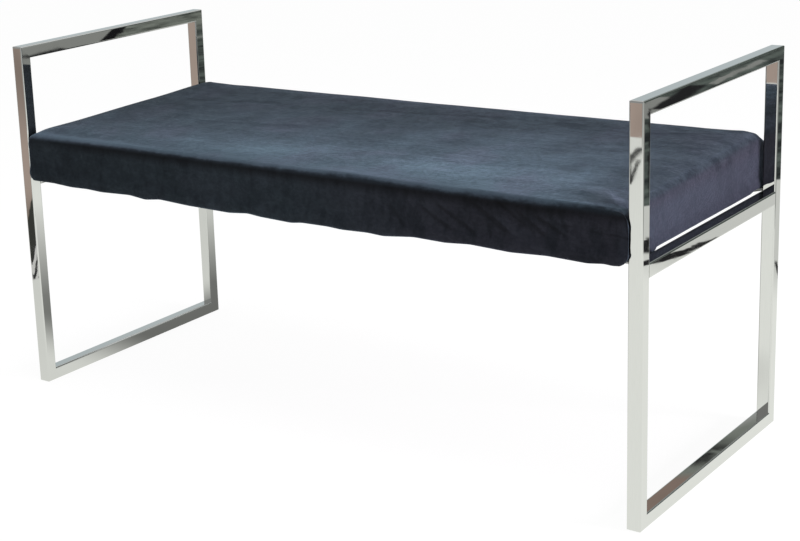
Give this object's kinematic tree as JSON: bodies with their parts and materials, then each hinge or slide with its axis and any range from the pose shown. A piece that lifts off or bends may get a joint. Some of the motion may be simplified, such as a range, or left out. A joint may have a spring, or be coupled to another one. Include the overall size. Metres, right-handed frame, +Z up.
{
  "type": "hotel luggage bench",
  "caption": "Long low bench with a padded velvet seat between polished square-tube side frames that rise above it as arms; holds bags on the seat and on the floor below.",
  "frame": {"origin": "on the floor, under the middle of the bench", "axes": "+Z up, +X along the seat towards the right-hand side frame, -Y towards the front of the bench, where the seat's hem hangs lower"},
  "size_m": [1.2, 0.5, 0.62],
  "materials": {
    "polished_tube": "mirror-polished stainless steel",
    "tab_steel": "satin steel plate",
    "navy_velvet": "dark navy short-pile velvet",
    "white_wadding": "bonded polyester fibre",
    "seat_foam": "open-cell foam",
    "birch_ply": "raw birch plywood",
    "pine_batten": "planed pine",
    "dust_cloth": "black non-woven dust cloth",
    "zinc_fixings": "bright zinc plate"
  },
  "bodies": {
    "root": {"left_front_leg": "polished_tube", "left_rear_leg": "polished_tube", "left_arm_rail": "polished_tube", "left_seat_rail": "polished_tube", "left_floor_rail": "polished_tube", "right_front_leg": "polished_tube", "right_rear_leg": "polished_tube", "right_arm_rail": "polished_tube", "right_seat_rail": "polished_tube", "right_floor_rail": "polished_tube", "left_front_seat_tab": "tab_steel", "left_rear_seat_tab": "tab_steel", "right_front_seat_tab": "tab_steel", "right_rear_seat_tab": "tab_steel", "velvet_cover": "navy_velvet", "fibre_wadding": "white_wadding", "foam_pad": "seat_foam", "plywood_deck": "birch_ply", "front_frame_rail": "pine_batten", "rear_frame_rail": "pine_batten", "left_end_batten": "pine_batten", "right_end_batten": "pine_batten", "left_cross_batten": "pine_batten", "middle_cross_batten": "pine_batten", "right_cross_batten": "pine_batten", "corner_blocks": "pine_batten", "front_apron_strip": "birch_ply", "dust_cover": "dust_cloth", "cover_staples": "zinc_fixings", "deck_screws": "zinc_fixings", "seat_bolts": "zinc_fixings", "bolt_washers": "zinc_fixings", "threaded_inserts": "zinc_fixings"}
  },
  "joints": []
}
